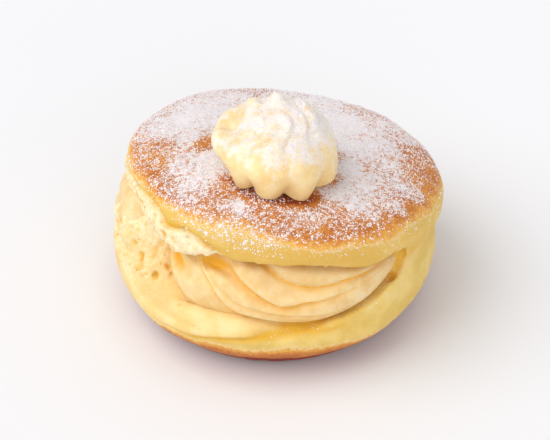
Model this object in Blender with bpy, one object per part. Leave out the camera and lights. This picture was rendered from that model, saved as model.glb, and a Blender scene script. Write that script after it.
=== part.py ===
"""Custard doughnut: a round fried bun, split from the front left, filled with piped custard and topped with a rosette.

Three closed solids in metres, +Z up: the bun (lid and base joined at the back right), the custard in the split, and
the custard rosette on the lid. The whole stands on the flat of its underside, with its origin at the centre of its box.
"""

import math

import bmesh
import bpy
from mathutils import Matrix, Vector, noise

MM = 0.001

# Driving dimensions of the bun, in millimetres
BASE_RADIUS = 45.0
BASE_WIDEST_HEIGHT = 18.2
BASE_SQUARENESS = 2.75
UNDERSIDE_FLAT_DEPTH = 1.2
LID_RADIUS = 44.2
LID_DOME_HEIGHT = 10.8
LID_SQUARENESS = 3.0
LID_CENTRE = Vector((2.8, 1.0, 36.5))
LID_RISE_DEG = 10.7
LID_RISE_TOWARDS_DEG = -40.5
CREASE_DEPTH = 2.2
LUMP_HEIGHT = 0.7
LUMP_LENGTH = 26.0
BASE_ENDS_AT = -0.30
LID_STARTS_AT = 0.10

# The split: a flattened ellipsoid is taken out of the bun, facing the front left
SPLIT_TOWARDS_DEG = -37.0
SPLIT_CENTRE_OUT = 30.0
SPLIT_CENTRE_HEIGHT = 28.6
SPLIT_HALF_WIDTH = 52.8
SPLIT_HALF_DEPTH = 55.0
SPLIT_HALF_HEIGHT = 11.3
SPLIT_LEFT_DROP = 3.6
TORN_DEPTH = 3.0
TORN_FROM_DEG = -84.0
TORN_TO_DEG = -22.0
RAGGED_HEIGHT = 0.8
RAGGED_LENGTH = 7.0
MOUND_CENTRE = Vector((-32.5, -14.5, 0.0))
MOUND_HEIGHT = 6.0
MOUND_LENGTH = 10.0
LIP_REACH = 1.5
LIP_FROM_HEIGHT = 13.6
LIP_FROM_DEG = -58.0
LIP_TO_DEG = -2.0

# Custard, in millimetres
GAP = 0.3
CORE_CLEARANCE = 0.9
CORE_REACH = 36.0
CORE_TAPER = 0.05
CORE_BACK_FROM_MOUND = 8.0
MOUND_FROM_DEG = -84.0
MOUND_TO_DEG = -50.0

# Each rope of custard, by stations from left to right:
# degrees from the front, distance out, height, radius, turn of the teeth in degrees
ROPES = {
    "left_rope": (
        (-134, 27, 28.0, 6.0, 150),
        (-118, 33, 27.5, 8.4, 130),
        (-100, 35.0, 27.0, 9.2, 105),
        (-82, 33.5, 27.3, 9.0, 80),
        (-66, 28.5, 28.0, 7.5, 55),
    ),
    "main_rope": (
        (-78, 23, 28.0, 7.0, 95),
        (-58, 27.0, 27.6, 8.6, 84),
        (-38, 31.6, 27.0, 9.8, 62),
        (-18, 32.4, 26.9, 10.0, 42),
        (2, 33.6, 26.7, 9.8, 26),
        (20, 36.6, 26.8, 8.6, 14),
        (37, 38.2, 27.6, 7.2, 8),
        (55, 39.0, 28.8, 4.2, 5),
    ),
}
ROPE_TEETH = 8
TOOTH_DEPTH = 0.2

# The rosette on the lid, in millimetres
ROSETTE_FOOT = Vector((1.0, -14.8, 46.5))
ROSETTE_RADIUS = 16.4
ROSETTE_HEIGHT = 25.3
ROSETTE_FOOT_SHARE = 0.76
ROSETTE_BULGE_AT = 0.46
ROSETTE_LOBES = 9
ROSETTE_GROOVE = 0.2
ROSETTE_TWIST_DEG = 22.0
ROSETTE_LEAN = Vector((-3.0, 3.0, 0.0))

CRUST_COLOUR = (0.62, 0.30, 0.10, 1.0)
CUSTARD_COLOUR = (0.90, 0.68, 0.33, 1.0)


def clear_scene():
    for thing in list(bpy.data.objects):
        bpy.data.objects.remove(thing)


def collection_named(name):
    made = bpy.data.collections.new(name)
    bpy.context.scene.collection.children.link(made)
    return made


def material_named(name, colour, roughness):
    made = bpy.data.materials.new(name)
    made.use_nodes = True
    shader = made.node_tree.nodes["Principled BSDF"]
    shader.inputs["Base Color"].default_value = colour
    shader.inputs["Roughness"].default_value = roughness
    shader.inputs["Metallic"].default_value = 0.0
    return made


def smooth_step(low, high, value):
    share = min(1.0, max(0.0, (value - low) / (high - low)))
    return share * share * (3.0 - 2.0 * share)


def window(low, high, soft, value):
    """One between low and high, fading to nothing over soft beyond each."""
    return smooth_step(low - soft, low + soft, value) * (1.0 - smooth_step(high - soft, high + soft, value))


def towards(degrees):
    """The level direction at this many degrees to the right of the front, which is -Y."""
    angle = math.radians(degrees)
    return Vector((math.sin(angle), -math.cos(angle), 0.0))


def facing_degrees(around):
    """How far to the right of the front this direction points, in degrees."""
    return math.degrees(math.atan2(around.x, -around.y))


def lid_turn():
    """Turns the lid up about its hinge side, so that it opens towards the split."""
    rise = towards(LID_RISE_TOWARDS_DEG)
    return Matrix.Rotation(math.radians(LID_RISE_DEG), 3, rise.cross(Vector((0.0, 0.0, 1.0))))


def on_base(around, share):
    """A point of the underside and lower side: share 0 is the middle of the underside, 1 the widest ring."""
    angle = share * math.pi / 2
    out = BASE_RADIUS * math.sin(angle) ** (2 / BASE_SQUARENESS)
    full_height = BASE_WIDEST_HEIGHT + UNDERSIDE_FLAT_DEPTH
    height = full_height * (1.0 - max(0.0, math.cos(angle)) ** (2 / BASE_SQUARENESS)) - UNDERSIDE_FLAT_DEPTH
    lip = window(LIP_FROM_DEG, LIP_TO_DEG, 12.0, facing_degrees(around))
    out += LIP_REACH * lip * smooth_step(LIP_FROM_HEIGHT, LIP_FROM_HEIGHT + 2.0, height)
    return around * out + Vector((0.0, 0.0, max(0.0, height)))


def on_lid(around, share, turn):
    """A point of the dome: share 0 is its widest ring and 1 its top."""
    angle = share * math.pi / 2
    out = LID_RADIUS * max(0.0, math.cos(angle)) ** (2 / LID_SQUARENESS)
    height = LID_DOME_HEIGHT * math.sin(angle) ** (2 / LID_SQUARENESS)
    return turn @ (around * out + Vector((0.0, 0.0, height))) + LID_CENTRE


def on_side(around, share, turn):
    """A point of the side between the two widest rings, with the crease where the lid meets the base."""
    low = on_base(around, 1.0)
    high = on_lid(around, 0.0, turn)
    place = low.lerp(high, smooth_step(0.0, 1.0, share))
    place.z = low.z + (high.z - low.z) * share
    crease = CREASE_DEPTH * math.exp(-(((share - 0.55) / 0.22) ** 2))
    torn = window(TORN_FROM_DEG, TORN_TO_DEG, 9.0, facing_degrees(around))
    torn *= TORN_DEPTH * (1.0 - smooth_step(0.86, 1.0, share))
    return place - around * max(crease, torn * smooth_step(0.4, 0.6, share))


def bun_point(around, latitude):
    """Where a point of the starting sphere goes. The latitude runs from -1, the underside, to 1, the top."""
    turn = lid_turn()
    if latitude <= BASE_ENDS_AT:
        place = on_base(around, (latitude + 1.0) / (BASE_ENDS_AT + 1.0))
    elif latitude <= LID_STARTS_AT:
        place = on_side(around, (latitude - BASE_ENDS_AT) / (LID_STARTS_AT - BASE_ENDS_AT), turn)
    else:
        place = on_lid(around, (latitude - LID_STARTS_AT) / (1.0 - LID_STARTS_AT), turn)
    lump = noise.noise(place / LUMP_LENGTH) * LUMP_HEIGHT * smooth_step(0.0, 6.0, place.z)
    return place + (place - Vector((0.0, 0.0, BASE_WIDEST_HEIGHT))).normalized() * lump


def split_point(around, latitude, smaller=0.0):
    """The flattened ellipsoid of the split, with a ragged face and a lower roof on the left."""
    level = math.cos(latitude * math.pi / 2)
    side = (SPLIT_HALF_WIDTH - smaller) * level * around.x
    ahead = (SPLIT_HALF_DEPTH - smaller) * level * -around.y
    height = (SPLIT_HALF_HEIGHT - smaller) * math.sin(latitude * math.pi / 2)
    place = towards(SPLIT_TOWARDS_DEG) * (SPLIT_CENTRE_OUT + ahead)
    place += towards(SPLIT_TOWARDS_DEG + 90.0) * side
    place.z = SPLIT_CENTRE_HEIGHT + height
    place.z += RAGGED_HEIGHT * noise.noise(Vector((place.x, place.y, 3.0 * height)) / RAGGED_LENGTH)
    if height > 0.0:
        place.z -= SPLIT_LEFT_DROP * (1.0 - smooth_step(-34.0, 0.0, side)) * height / SPLIT_HALF_HEIGHT
    else:
        aside = Vector((place.x, place.y, 0.0)) - MOUND_CENTRE
        place.z -= MOUND_HEIGHT * math.exp(-aside.length_squared / MOUND_LENGTH ** 2) * height / SPLIT_HALF_HEIGHT
    return place


def core_point(around, latitude):
    """The plain custard behind the ropes: the shape of the split, a little smaller, that stops short of the side."""
    place = split_point(around, latitude, CORE_CLEARANCE)
    level = Vector((place.x, place.y, 0.0))
    back = CORE_BACK_FROM_MOUND * window(MOUND_FROM_DEG, MOUND_TO_DEG, 10.0, facing_degrees(level))
    beyond = level.length - (CORE_REACH - back)
    if beyond > 0.0:
        level -= level.normalized() * beyond * (1.0 - CORE_TAPER)
    return Vector((level.x, level.y, place.z))


def between_stations(stations, share):
    """The values at this share of the way along the stations, on a smooth curve through them."""
    where = share * (len(stations) - 1)
    first = min(len(stations) - 2, int(where))
    part = where - first
    before = stations[max(0, first - 1)]
    start, end = stations[first], stations[first + 1]
    after = stations[min(len(stations) - 1, first + 2)]
    values = []
    for a, b, c, d in zip(before, start, end, after):
        bend = 2 * b + (c - a) * part + (2 * a - 5 * b + 4 * c - d) * part ** 2 + (3 * b - a - 3 * c + d) * part ** 3
        values.append(bend / 2)
    return values


def rope_point(name, around, latitude):
    """A point of a piped rope: the sphere's poles become its two ends, and its rings the star of the nozzle."""
    share = (latitude + 1.0) / 2.0
    degrees, out, height, radius, turn = between_stations(ROPES[name], share)
    angle = math.atan2(around.y, around.x)
    wave = abs(math.cos(ROPE_TEETH * (angle + math.radians(turn)) / 2))
    rounding = math.cos(latitude * math.pi / 2) ** 0.4 if abs(latitude) < 0.9999 else 0.0
    reach = radius * rounding * (1.0 - TOOTH_DEPTH * (1.0 - wave))
    return towards(degrees) * (out + reach * math.cos(angle)) + Vector((0.0, 0.0, height + reach * math.sin(angle)))


def rosette_profile(rise):
    """How far out the rosette reaches at this share of its height, as a share of its radius."""
    if rise < ROSETTE_BULGE_AT:
        swell = math.sin(math.pi / 2 * rise / ROSETTE_BULGE_AT)
        return ROSETTE_FOOT_SHARE + (1.0 - ROSETTE_FOOT_SHARE) * swell
    return math.cos(math.pi / 2 * (rise - ROSETTE_BULGE_AT) / (1.0 - ROSETTE_BULGE_AT)) ** 0.52


def rosette_point(around, latitude):
    """A point of the rosette: lobes that turn a little on the way up and close in a leaning peak."""
    rise = (math.sin(latitude * math.pi / 2) + 1.0) / 2.0
    angle = math.atan2(around.y, around.x)
    wave = abs(math.cos(ROSETTE_LOBES * (angle - math.radians(ROSETTE_TWIST_DEG) * rise) / 2))
    out = 0.0
    if abs(latitude) < 0.999:
        out = ROSETTE_RADIUS * rosette_profile(rise) * (1.0 - ROSETTE_GROOVE * (1.0 - wave))
    lean = ROSETTE_LEAN * smooth_step(0.1, 1.0, rise)
    return ROSETTE_FOOT + around * out + lean + Vector((0.0, 0.0, ROSETTE_HEIGHT * rise))


def shaped_sphere(name, segments, rings, shape, home):
    """A UV sphere whose every point is put where shape says, given its direction around and its latitude."""
    mesh = bpy.data.meshes.new(name)
    work = bmesh.new()
    bmesh.ops.create_uvsphere(work, u_segments=segments, v_segments=rings, radius=1.0)
    for point in work.verts:
        level = Vector((point.co.x, point.co.y, 0.0))
        around = level.normalized() if level.length > 1e-5 else Vector((0.0, -1.0, 0.0))
        latitude = math.asin(max(-1.0, min(1.0, point.co.z))) / (math.pi / 2)
        point.co = shape(around, latitude) * MM
    if work.calc_volume(signed=True) < 0.0:
        bmesh.ops.reverse_faces(work, faces=work.faces)
    work.to_mesh(mesh)
    work.free()
    made = bpy.data.objects.new(name, mesh)
    home.objects.link(made)
    return made


def add_boolean(target, other, operation):
    step = target.modifiers.new(f"{operation} {other.name}", "BOOLEAN")
    step.operation = operation
    step.solver = "EXACT"
    step.object = other


def put_shape_into_mesh(target):
    """Puts the evaluated shape of the object into its own mesh, with no modifier left."""
    bpy.context.view_layer.update()
    graph = bpy.context.evaluated_depsgraph_get()
    mesh = bpy.data.meshes.new_from_object(target.evaluated_get(graph))
    target.modifiers.clear()
    target.data = mesh


def keep_largest_body(thing):
    """Drops the loose scraps that a Boolean leaves, which are far smaller than the piece."""
    work = bmesh.new()
    work.from_mesh(thing.data)
    bmesh.ops.remove_doubles(work, verts=work.verts, dist=0.000002)
    left = set(work.verts)
    bodies = []
    while left:
        reached = {left.pop()}
        edge = list(reached)
        while edge:
            point = edge.pop()
            for line in point.link_edges:
                other = line.other_vert(point)
                if other not in reached:
                    reached.add(other)
                    edge.append(other)
        left -= reached
        bodies.append(reached)
    largest = max(bodies, key=len)
    bmesh.ops.delete(work, geom=[point for point in work.verts if point not in largest], context="VERTS")
    work.to_mesh(thing.data)
    work.free()


def hide_as_cutter(thing):
    thing.hide_render = True
    thing.display_type = "WIRE"


def build_bun(parts, cutters):
    bun = shaped_sphere("bun", 64, 44, bun_point, parts)
    split = shaped_sphere("split_cutter", 72, 18, split_point, cutters)
    hide_as_cutter(split)
    add_boolean(bun, split, "DIFFERENCE")
    put_shape_into_mesh(bun)
    keep_largest_body(bun)
    return bun


def clearance_of(bun, cutters):
    """The bun grown by the gap, which is what the custard is cut by where it touches."""
    grown = bpy.data.objects.new("bun_clearance", bun.data.copy())
    cutters.objects.link(grown)
    swell = grown.modifiers.new("gap", "DISPLACE")
    swell.mid_level = 0.0
    swell.strength = GAP * MM
    put_shape_into_mesh(grown)
    hide_as_cutter(grown)
    return grown


def build_filling(parts, cutters, clearance):
    filling = shaped_sphere("custard_filling", 40, 14, core_point, parts)
    for name in ROPES:
        rope = shaped_sphere(name, 32, 26, lambda around, latitude, name=name: rope_point(name, around, latitude), cutters)
        hide_as_cutter(rope)
        add_boolean(filling, rope, "UNION")
    add_boolean(filling, clearance, "DIFFERENCE")
    put_shape_into_mesh(filling)
    keep_largest_body(filling)
    return filling


def build_rosette(parts, clearance):
    rosette = shaped_sphere("custard_rosette", 54, 22, rosette_point, parts)
    add_boolean(rosette, clearance, "DIFFERENCE")
    put_shape_into_mesh(rosette)
    keep_largest_body(rosette)
    return rosette


def stand_at_origin(pieces):
    """Moves the pieces together, so that the centre of their box's underside is the origin."""
    corners = [point.co for piece in pieces for point in piece.data.vertices]
    low = Vector(min(corner[axis] for corner in corners) for axis in range(3))
    high = Vector(max(corner[axis] for corner in corners) for axis in range(3))
    shift = Matrix.Translation((-(low.x + high.x) / 2, -(low.y + high.y) / 2, -low.z))
    for piece in pieces:
        piece.data.transform(shift)


def main():
    clear_scene()
    parts = collection_named("custard_doughnut")
    cutters = collection_named("cutters")
    cutters.hide_render = True
    bun = build_bun(parts, cutters)
    clearance = clearance_of(bun, cutters)
    filling = build_filling(parts, cutters, clearance)
    rosette = build_rosette(parts, clearance)
    stand_at_origin((bun, filling, rosette))
    bun.data.materials.clear()
    bun.data.materials.append(material_named("fried_crust", CRUST_COLOUR, 0.6))
    custard = material_named("custard", CUSTARD_COLOUR, 0.4)
    for piece in (filling, rosette):
        piece.data.materials.clear()
        piece.data.materials.append(custard)


main()
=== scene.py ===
import math

import bmesh
import bpy
import numpy as np
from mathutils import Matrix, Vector
from mathutils.kdtree import KDTree


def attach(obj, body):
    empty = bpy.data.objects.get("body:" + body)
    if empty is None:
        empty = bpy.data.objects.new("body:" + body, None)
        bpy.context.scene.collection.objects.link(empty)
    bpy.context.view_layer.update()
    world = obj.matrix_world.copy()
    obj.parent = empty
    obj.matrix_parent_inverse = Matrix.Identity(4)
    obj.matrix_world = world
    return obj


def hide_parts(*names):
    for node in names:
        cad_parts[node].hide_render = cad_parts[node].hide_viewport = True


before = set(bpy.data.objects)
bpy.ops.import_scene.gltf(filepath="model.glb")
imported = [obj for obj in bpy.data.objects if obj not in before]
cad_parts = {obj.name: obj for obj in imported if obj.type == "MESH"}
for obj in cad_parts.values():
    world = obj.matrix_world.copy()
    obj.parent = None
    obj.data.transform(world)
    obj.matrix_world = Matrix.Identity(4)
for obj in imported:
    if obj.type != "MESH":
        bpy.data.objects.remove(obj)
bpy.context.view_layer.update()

# Lengths below are in millimetres, measured from the axis of the bun's base, which stands here in the part's
# frame.
MM = 0.001
BASE_AXIS = np.array((-0.671, 0.239, 0.0))

# The bun, as in the part
LID_CENTRE = np.array((2.8, 1.0, 36.5))
LID_RISE_DEG = 10.7
LID_RISE_TOWARDS_DEG = -40.5
SPLIT_TOWARDS_DEG = -37.0
SPLIT_CENTRE_OUT = 30.0
SPLIT_CENTRE_HEIGHT = 28.6
SPLIT_HALF_WIDTH = 52.8
SPLIT_HALF_DEPTH = 55.0
SPLIT_HALF_HEIGHT = 11.3
ROSETTE_FOOT = np.array((1.0, -14.8, 46.5))
ROSETTE_RADIUS = 16.4
ROSETTE_FOOT_SHARE = 0.86

# The height that parts the lid from the base, halfway up the split
PARTING_HEIGHT = 28.0

# Fineness of the finished pieces
BREAD_VOXEL = 0.66
CUSTARD_VOXEL = 0.44
ROSETTE_VOXEL = 0.36
FILLING_CORE_VOXEL = 0.9


# Numbers and patterns

def fade(low, high, value):
    share = np.clip((value - low) / (high - low), 0.0, 1.0)
    return share * share * (3.0 - 2.0 * share)


def window(low, high, soft, value):
    """One between low and high, fading to nothing over soft beyond each."""
    return fade(low - soft, low + soft, value) * (1.0 - fade(high - soft, high + soft, value))


def lattice_values(cells, seed):
    """A fixed number between -1 and 1 for each whole-numbered cell."""
    mixed = cells[..., 0] * 73856093 ^ cells[..., 1] * 19349663 ^ cells[..., 2] * 83492791 \
        ^ (seed + 7) * 2654435761
    mixed = (mixed ^ (mixed >> 15)) * 2246822519 & 0xFFFFFFFF
    mixed = (mixed ^ (mixed >> 13)) * 3266489917 & 0xFFFFFFFF
    return ((mixed ^ (mixed >> 16)) & 0xFFFFFF) / 0x7FFFFF - 1.0


def noise(points, length, seed=0):
    """Smooth unevenness between about -1 and 1, whose lumps are this long."""
    cells = points / length
    corner = np.floor(cells).astype(np.int64)
    part = cells - corner
    ease = part * part * (3.0 - 2.0 * part)
    total = np.zeros(len(points))
    for step in np.ndindex(2, 2, 2):
        weight = np.prod(np.where(np.array(step), ease, 1.0 - ease), axis=-1)
        total += weight * lattice_values(corner + np.array(step), seed)
    return total


def layered(points, length, seed=0, layers=3):
    """Unevenness with finer unevenness on it."""
    total = np.zeros(len(points))
    for layer in range(layers):
        total += noise(points, length / 2 ** layer, seed + layer) / 2 ** layer
    return total


def towards(degrees):
    """The level direction at this many degrees to the right of the front, which is -Y."""
    angle = np.radians(degrees)
    return np.stack([np.sin(angle), -np.cos(angle), np.zeros_like(angle)], axis=-1)


def facing_of(points):
    return np.degrees(np.arctan2(points[..., 0], -points[..., 1]))


def radius_of(points):
    """How far each place is from the upright axis of the base."""
    return np.hypot(points[..., 0], points[..., 1])


def around_the_bun(degrees, out, height):
    """The places at these degrees from the front, distances out and heights."""
    places = towards(degrees) * out[:, None]
    places[:, 2] = height
    return places


def along(path, where):
    """The path's second number at each value of its first."""
    return np.interp(where, *np.array(path).T)


def round_ends(latitude, power):
    """How wide a closed tube is along its length: one in the middle, and nothing at both ends."""
    return np.cos(np.clip(np.abs(latitude), 0.0, 0.9999) * math.pi / 2) ** power


def lid_turn():
    """The turn that opens the lid towards the split, as a matrix."""
    rise = towards(LID_RISE_TOWARDS_DEG)
    axis = np.cross(rise, (0.0, 0.0, 1.0))
    cross = np.array(((0, -axis[2], axis[1]), (axis[2], 0, -axis[0]), (-axis[1], axis[0], 0)))
    angle = math.radians(LID_RISE_DEG)
    return np.eye(3) + math.sin(angle) * cross + (1 - math.cos(angle)) * cross @ cross


def on_lid_frame(points):
    """Places measured from the middle of the lid's widest ring, the third number along the lid's own upright."""
    return (points - LID_CENTRE) @ lid_turn()


def between(stations, share):
    """The values at these shares of the way along the stations, on a smooth curve through them."""
    rows = np.array(stations, dtype=float)
    where = np.clip(share, 0.0, 1.0) * (len(rows) - 1)
    first = np.minimum(where.astype(int), len(rows) - 2)
    part = (where - first)[:, None]
    a, b = rows[np.maximum(first - 1, 0)], rows[first]
    c, d = rows[first + 1], rows[np.minimum(first + 2, len(rows) - 1)]
    bend = 2 * b + (c - a) * part + (2 * a - 5 * b + 4 * c - d) * part ** 2 + (3 * b - a - 3 * c + d) * part ** 3
    return bend / 2


# Working on meshes

def only_select(thing):
    bpy.ops.object.select_all(action="DESELECT")
    thing.select_set(True)
    bpy.context.view_layer.objects.active = thing


def rows_of_three(items, key):
    rows = np.empty(len(items) * 3)
    items.foreach_get(key, rows)
    return rows.reshape(-1, 3)


def places_of(thing):
    """Every point of the mesh, in millimetres from the base's axis."""
    return rows_of_three(thing.data.vertices, "co") / MM - BASE_AXIS


def normals_of(thing):
    return rows_of_three(thing.data.vertices, "normal")


def set_places(thing, places):
    thing.data.vertices.foreach_set("co", ((places + BASE_AXIS) * MM).astype(np.float32).ravel())
    thing.data.update()


def push_out(thing, amount):
    """Moves every point along its normal by its own amount, in millimetres."""
    set_places(thing, places_of(thing) + normals_of(thing) * amount[:, None])


def keep(thing, name, values):
    """Keeps a value from 0 to 1 for each point, which the materials read."""
    layer = thing.data.attributes.new(name, "FLOAT", "POINT")
    layer.data.foreach_set("value", np.clip(values, 0.0, 1.0).astype(np.float32))


def apply_modifier(thing, kind, **settings):
    only_select(thing)
    step = thing.modifiers.new(kind.lower(), kind)
    for name, value in settings.items():
        setattr(step, name, value)
    bpy.ops.object.modifier_apply(modifier=step.name)


def join_into(thing, others):
    only_select(thing)
    for other in others:
        other.select_set(True)
    bpy.ops.object.join()


def as_one_skin(thing, voxel, smoothing):
    """Makes the overlapping shells of the mesh one even skin, and softens the steps that this leaves."""
    apply_modifier(thing, "REMESH", mode="VOXEL", voxel_size=voxel * MM, adaptivity=0.0)
    apply_modifier(thing, "SMOOTH", factor=0.5, iterations=smoothing)


def drop_scraps(thing):
    """Keeps the largest connected shell of the mesh and deletes the rest."""
    work = bmesh.new()
    work.from_mesh(thing.data)
    left = set(work.verts)
    shells = []
    while left:
        reached = {left.pop()}
        edge = list(reached)
        while edge:
            point = edge.pop()
            for line in point.link_edges:
                other = line.other_vert(point)
                if other not in reached:
                    reached.add(other)
                    edge.append(other)
        left -= reached
        shells.append(reached)
    largest = max(shells, key=len)
    bmesh.ops.delete(work, geom=[point for point in work.verts if point not in largest], context="VERTS")
    work.to_mesh(thing.data)
    work.free()


def merged_copy(node, name):
    """A copy of a CAD node with its loose triangles joined up, which may be shaped further."""
    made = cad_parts[node].copy()
    made.data = made.data.copy()
    made.name = made.data.name = name
    bpy.context.scene.collection.objects.link(made)
    made.data.materials.clear()
    work = bmesh.new()
    work.from_mesh(made.data)
    bmesh.ops.remove_doubles(work, verts=work.verts, dist=0.000005)
    work.to_mesh(made.data)
    work.free()
    return made


def shaped_sphere(name, segments, rings, shape):
    """A UV sphere whose points are put where shape says, given their angle around and latitude from -1 to 1."""
    bpy.ops.object.select_all(action="DESELECT")
    bpy.ops.mesh.primitive_uv_sphere_add(segments=segments, ring_count=rings, radius=1.0)
    made = bpy.context.object
    made.name = made.data.name = name
    unit = rows_of_three(made.data.vertices, "co")
    angle = np.arctan2(unit[:, 1], unit[:, 0])
    latitude = np.arcsin(np.clip(unit[:, 2], -1.0, 1.0)) / (math.pi / 2)
    set_places(made, shape(angle, latitude))
    work = bmesh.new()
    work.from_mesh(made.data)
    if work.calc_volume(signed=True) < 0.0:
        bmesh.ops.reverse_faces(work, faces=work.faces)
    work.to_mesh(made.data)
    work.free()
    return made


def finish_piece(thing, node, material):
    thing.data.materials.clear()
    thing.data.materials.append(material)
    thing.data.shade_smooth()
    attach(thing, "root")
    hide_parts(node)


# Shader nodes

def feed(tree, source, socket):
    """Links a socket to the input, or sets the input to a value."""
    if isinstance(source, bpy.types.NodeSocket):
        tree.links.new(source, socket)
    else:
        socket.default_value = source


def add_node(tree, kind, inputs=(), **settings):
    """A shader node of this kind with these settings, and these sockets or values fed to its inputs."""
    made = tree.nodes.new("ShaderNode" + kind)
    for name, value in settings.items():
        setattr(made, name, value)
    for name, source in dict(inputs).items():
        feed(tree, source, made.inputs[name])
    return made


def calculate(tree, operation, *inputs):
    return add_node(tree, "Math", enumerate(inputs), operation=operation).outputs[0]


def times(tree, first, second):
    return calculate(tree, "MULTIPLY", first, second)


def ranged(tree, value, low, high, to_low=0.0, to_high=1.0):
    inputs = enumerate((value, low, high, to_low, to_high))
    return add_node(tree, "MapRange", inputs, interpolation_type="SMOOTHSTEP").outputs[0]


# Where a mix node's colour sockets stand among those of the same name
COLOUR_A, COLOUR_B, COLOUR_RESULT = 6, 7, 2


def mixed(tree, share, first, second):
    """A colour between two, by share."""
    inputs = {"Factor": share, COLOUR_A: first, COLOUR_B: second}
    return add_node(tree, "Mix", inputs, data_type="RGBA").outputs[COLOUR_RESULT]


def grain_noise(tree, length, detail=3.0, roughness=0.55):
    """Noise on the object's own coordinates, whose lumps are this many millimetres long."""
    place = add_node(tree, "TexCoord").outputs["Object"]
    inputs = {"Vector": place, "Scale": 1.0 / (length * MM), "Detail": detail, "Roughness": roughness}
    return add_node(tree, "TexNoise", inputs).outputs["Fac"]


def attribute(tree, name):
    return add_node(tree, "Attribute", attribute_name=name).outputs["Fac"]


def colour(red, green, blue):
    """A colour given as it shows on screen, from 0 to 255."""
    return tuple(((part / 255 + 0.055) / 1.055) ** 2.4 if part > 10 else part / 255 / 12.92
                 for part in (red, green, blue)) + (1.0,)


def new_material(name, roughness, specular, scatter=0.0, scatter_radius=(1.0, 1.0, 1.0)):
    made = bpy.data.materials.new(name)
    made.use_nodes = True
    shader = made.node_tree.nodes["Principled BSDF"]
    for socket, value in (
            ("Roughness", roughness), ("Specular IOR Level", specular), ("Subsurface Weight", scatter),
            ("Subsurface Radius", scatter_radius), ("Subsurface Scale", MM)):
        shader.inputs[socket].default_value = value
    return made, made.node_tree, shader


def sugar_dust_group():
    """Icing sugar: the more there is, the more of the small grains are white, with powder between them."""
    group = bpy.data.node_groups.new("icing_sugar_dust", "ShaderNodeTree")
    for name, way in (("Amount", "INPUT"), ("Grain Size", "INPUT"), ("Cover", "OUTPUT"), ("Height", "OUTPUT")):
        group.interface.new_socket(name, in_out=way, socket_type="NodeSocketFloat")
    start, end = group.nodes.new("NodeGroupInput"), group.nodes.new("NodeGroupOutput")
    place = add_node(group, "TexCoord").outputs["Object"]
    clumps = ranged(group, grain_noise(group, 1.3, 2.0), 0.32, 0.68, -0.3, 0.3)
    partly = ranged(group, start.outputs["Amount"], 0.0, 0.3)
    partly = times(group, partly, ranged(group, start.outputs["Amount"], 1.0, 0.7, 0.25, 1.0))
    amount = calculate(group, "ADD", start.outputs["Amount"], times(group, clumps, partly))
    scale = calculate(group, "DIVIDE", 1.0 / MM, start.outputs["Grain Size"])
    cover = None
    # Two layers of grains, the second one finer
    for spread in (1.0, 1.73):
        cells = add_node(group, "TexVoronoi", {"Vector": place, "Scale": times(group, scale, spread)})
        chance = add_node(group, "SeparateColor", {0: cells.outputs["Color"]})
        chosen = ranged(group, calculate(group, "SUBTRACT", amount, chance.outputs[0]), -0.02, 0.06)
        rounded = ranged(group, cells.outputs["Distance"], 0.62, 0.42)
        grain = times(group, chosen, rounded)
        cover = grain if cover is None else calculate(group, "MAXIMUM", cover, times(group, grain, 0.9))
    film = ranged(group, start.outputs["Amount"], 0.2, 0.7, 0.0, 0.12)
    powder = calculate(group, "MAXIMUM", film, ranged(group, amount, 0.45, 1.0, 0.0, 0.97))
    feed(group, calculate(group, "MAXIMUM", cover, powder), end.inputs["Cover"])
    feed(group, calculate(group, "ADD", cover, powder), end.inputs["Height"])
    return group


def add_dust(tree, dust, amount, grain_size):
    node = add_node(tree, "Group", {"Amount": amount, "Grain Size": grain_size}, node_tree=dust)
    return node.outputs["Cover"], node.outputs["Height"]


def add_bump(tree, height, shader, distance, strength, under=None):
    node = add_node(tree, "Bump", {"Height": height, "Distance": distance * MM, "Strength": strength})
    if under is not None:
        feed(tree, under, node.inputs["Normal"])
    feed(tree, node.outputs["Normal"], shader.inputs["Normal"])
    return node.outputs["Normal"]


SUGAR_WHITE = colour(252, 245, 247)
CRUMB_PORE_LENGTH = 2.2


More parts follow.
